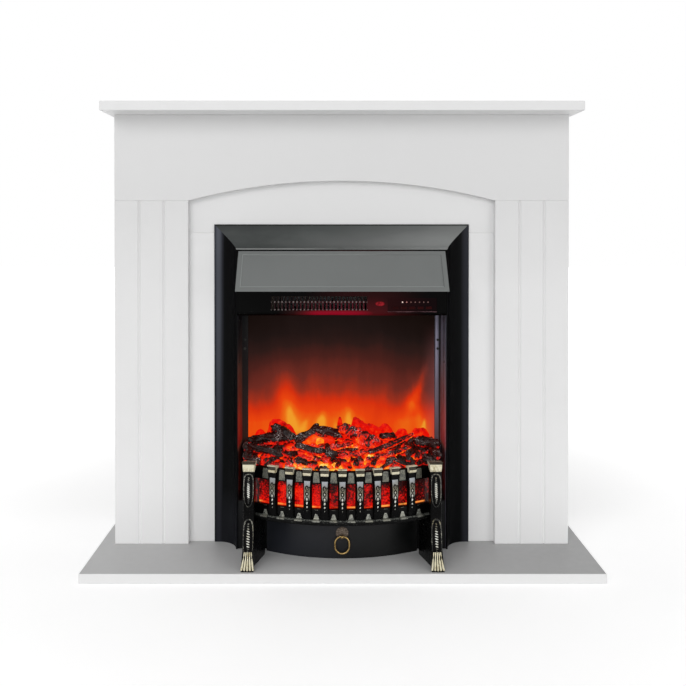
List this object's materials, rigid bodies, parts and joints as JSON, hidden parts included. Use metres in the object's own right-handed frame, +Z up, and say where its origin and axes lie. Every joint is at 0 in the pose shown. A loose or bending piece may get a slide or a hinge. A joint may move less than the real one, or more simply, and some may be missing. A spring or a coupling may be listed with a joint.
{
  "type": "electric fireplace",
  "caption": "Freestanding electric fire: a hooded log-effect fan heater with a bowed fret and ash pan, set in a white mantel surround on a hearth board.",
  "frame": {"origin": "centre of the hearth board's underside, on the floor", "axes": "+X to the right seen from the front, +Y back to the wall, +Z up"},
  "size_m": [0.96, 0.33, 0.888],
  "materials": {
    "white_board": "satin white paint on fibreboard",
    "hearth_laminate": "pale grey laminate on fibreboard",
    "raw_wood": "unpainted softwood",
    "zinc_steel": "zinc plated",
    "black_trim": "satin black enamel",
    "grey_hood": "metallic grey paint",
    "casing_steel": "dark grey coated sheet",
    "chamber_metal": "dark glossy coated sheet",
    "channel_metal": "black coated section",
    "flame_acrylic": "diffusing screen, lit from behind",
    "gloss_black": "gloss",
    "grille_plastic": "matt heat-proof",
    "window_plastic": "dark red tinted",
    "plate_plastic": "satin",
    "lamp_plastic": "clear, lit",
    "button_plastic": "satin",
    "circuit_board": "solder resist",
    "galvanised": "galvanised",
    "motor_steel": "coated",
    "wheel_aluminium": "mill finish",
    "element_ceramic": "heater element",
    "bearing_plastic": "moulded",
    "gland_plastic": "moulded nylon",
    "switch_plastic": "moulded",
    "rocker_plastic": "dark red, translucent",
    "ember_resin": "moulded, lit from inside",
    "log_resin": "moulded charred bark",
    "black_iron": "black enamel with a silver patina",
    "pale_brass": "satin champagne plating",
    "ash_pan_paint": "satin black enamel",
    "old_brass": "antique brass"
  },
  "bodies": {
    "fireplace": {"hearth_board": "hearth_laminate", "left_leg_board": "white_board", "right_leg_board": "white_board", "header_board": "white_board", "top_infill_panel": "white_board", "left_infill_stile": "white_board", "right_infill_stile": "white_board", "left_side_panel": "white_board", "right_side_panel": "white_board", "mantel_shelf": "white_board", "rear_rail": "raw_wood", "corner_blocks": "raw_wood", "wall_brackets": "zinc_steel", "screws": "zinc_steel", "trim_top": "black_trim", "trim_left": "black_trim", "trim_right": "black_trim", "hood": "grey_hood", "casing_wrap": "casing_steel", "casing_back": "casing_steel", "casing_floor": "casing_steel", "cheek_panels": "chamber_metal", "screen_channels": "channel_metal", "chamber_ceiling": "channel_metal", "flame_screen": "flame_acrylic", "control_fascia": "gloss_black", "heater_grille": "grille_plastic", "receiver_window": "window_plastic", "button_plate": "plate_plastic", "indicator_lights": "lamp_plastic", "control_circuit_board": "circuit_board", "blower_housing": "galvanised", "blower_motor": "motor_steel", "heating_element": "element_ceramic", "thermal_cutout": "zinc_steel", "spindle_motor": "motor_steel", "spindle_bearing": "bearing_plastic", "lamp_board": "circuit_board", "power_board": "circuit_board", "cable_gland": "gland_plastic", "plinth_panel": "black_trim", "switch_housing": "switch_plastic", "fuel_bed": "ember_resin", "logs": "log_resin", "ember_front": "ember_resin"},
    "fret": {"fret_front": "black_iron", "fret_columns": "black_iron", "fret_caps": "pale_brass", "fret_feet": "pale_brass"},
    "ash_pan": {"ash_pan_cover": "ash_pan_paint", "ring_rosette": "old_brass"},
    "ring": {"pull_ring": "old_brass"},
    "blower": {"blower_wheel": "wheel_aluminium"},
    "spindle": {"flicker_spindle": "wheel_aluminium"},
    "rocker": {"switch_rocker": "rocker_plastic"},
    "power_key": {"power_button": "button_plastic"},
    "flame_key": {"flame_button": "button_plastic"},
    "dimmer_key": {"dimmer_button": "button_plastic"},
    "heat_key": {"heat_button": "button_plastic"},
    "timer_key": {"timer_button": "button_plastic"}
  },
  "joints": [
    {"name": "fret_slide", "type": "slide", "parent": "fireplace", "child": "fret", "axis": [0, -1, 0], "range_m": [0, 0.11]},
    {"name": "ash_pan_slide", "type": "slide", "parent": "fireplace", "child": "ash_pan", "axis": [0, -1, 0], "range_m": [0, 0.06]},
    {"name": "ring_hinge", "type": "hinge", "parent": "ash_pan", "child": "ring", "pos_m": [0, -0.0956, 0.0624], "axis": [-1, 0, 0], "range_deg": [0, 110]},
    {"name": "blower_spin", "type": "hinge", "parent": "fireplace", "child": "blower", "pos_m": [-0.044, 0.04978, 0.5395], "axis": [1, 0, 0], "continuous": true},
    {"name": "spindle_spin", "type": "hinge", "parent": "fireplace", "child": "spindle", "pos_m": [0, 0.088, 0.18], "axis": [1, 0, 0], "continuous": true},
    {"name": "rocker_tilt", "type": "hinge", "parent": "fireplace", "child": "rocker", "pos_m": [0.118, -0.0336, 0.064], "axis": [1, 0, 0], "range_deg": [0, 20]},
    {"name": "power_press", "type": "slide", "parent": "fireplace", "child": "power_key", "axis": [0, 1, 0], "range_m": [0, 0.0012], "stiffness_N_per_m": 150},
    {"name": "flame_press", "type": "slide", "parent": "fireplace", "child": "flame_key", "axis": [0, 1, 0], "range_m": [0, 0.0012], "stiffness_N_per_m": 150},
    {"name": "dimmer_press", "type": "slide", "parent": "fireplace", "child": "dimmer_key", "axis": [0, 1, 0], "range_m": [0, 0.0012], "stiffness_N_per_m": 150},
    {"name": "heat_press", "type": "slide", "parent": "fireplace", "child": "heat_key", "axis": [0, 1, 0], "range_m": [0, 0.0012], "stiffness_N_per_m": 150},
    {"name": "timer_press", "type": "slide", "parent": "fireplace", "child": "timer_key", "axis": [0, 1, 0], "range_m": [0, 0.0012], "stiffness_N_per_m": 150}
  ]
}
